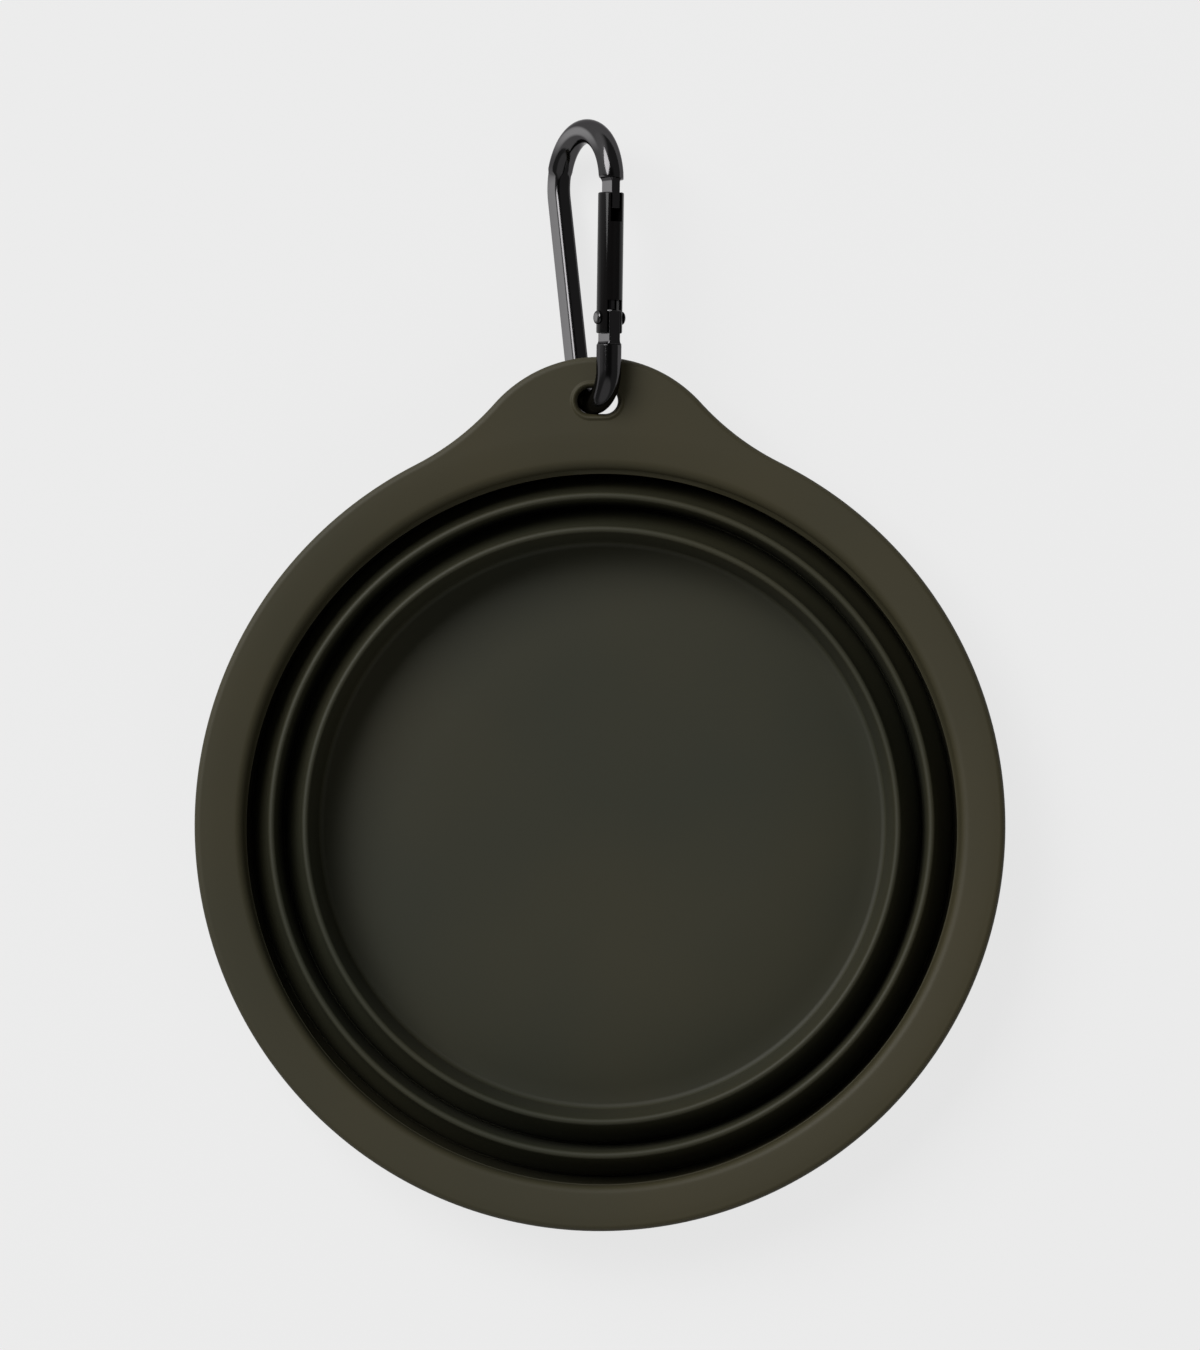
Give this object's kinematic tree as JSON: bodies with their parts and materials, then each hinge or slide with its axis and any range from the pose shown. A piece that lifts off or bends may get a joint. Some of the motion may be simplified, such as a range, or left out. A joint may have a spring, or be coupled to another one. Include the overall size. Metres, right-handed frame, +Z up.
{
  "type": "collapsible bowl",
  "caption": "Round silicone travel bowl that folds flat in nested tiers, with a wide flat rim and a hanging tab that carries a small spring-gate carabiner.",
  "frame": {"origin": "middle of the base's underside, where the bowl stands", "axes": "+Z up out of the bowl, +Y from the middle of the bowl through the hanging tab, +X to the right seen from above"},
  "size_m": [0.13, 0.1785, 0.0192],
  "materials": {
    "silicone": "matte moulded olive-grey silicone",
    "black_coating": "smooth glossy black coating on drawn metal bar",
    "dark_steel": "blackened turned steel",
    "spring_steel": "bright drawn spring wire"
  },
  "bodies": {
    "base": {"base": "silicone"},
    "middle": {"middle_wall": "silicone", "lower_fold": "silicone"},
    "rim": {"rim": "silicone", "upper_fold": "silicone"},
    "carabiner": {"carabiner_frame": "black_coating", "gate_rivet": "dark_steel"},
    "gate": {"carabiner_gate": "black_coating", "gate_spring": "spring_steel"},
    "plunger": {"gate_plunger": "dark_steel"}
  },
  "joints": [
    {"name": "lower_fold_slide", "type": "slide", "parent": "base", "child": "middle", "axis": [0, 0, 1], "range_m": [0, 0.0183], "deforming": ["lower_fold"]},
    {"name": "upper_fold_slide", "type": "slide", "parent": "middle", "child": "rim", "axis": [0, 0, 1], "range_m": [0, 0.0183], "deforming": ["upper_fold"]},
    {"name": "carabiner_swing", "type": "hinge", "parent": "rim", "child": "carabiner", "pos_m": [-0.00065, 0.07288, 0.0126], "axis": [0.8681, -0.0129, -0.4962], "range_deg": [-75, 75]},
    {"name": "gate_hinge", "type": "hinge", "parent": "carabiner", "child": "gate", "pos_m": [0.00197, 0.08119, 0.01697], "axis": [-0.8681, 0.0129, 0.4962], "range_deg": [0, 30], "stiffness_Nm_per_rad": 0.04, "springref_deg": -28.65},
    {"name": "plunger_slide", "type": "slide", "parent": "gate", "child": "plunger", "axis": [0.0196, 0.9998, 0.0083], "range_m": [0, 0.0009], "deforming": ["gate_spring"]}
  ],
  "couplings": [
    {"joint": "plunger_slide", "follows": "gate_hinge", "m_per_rad": 0.0016}
  ]
}
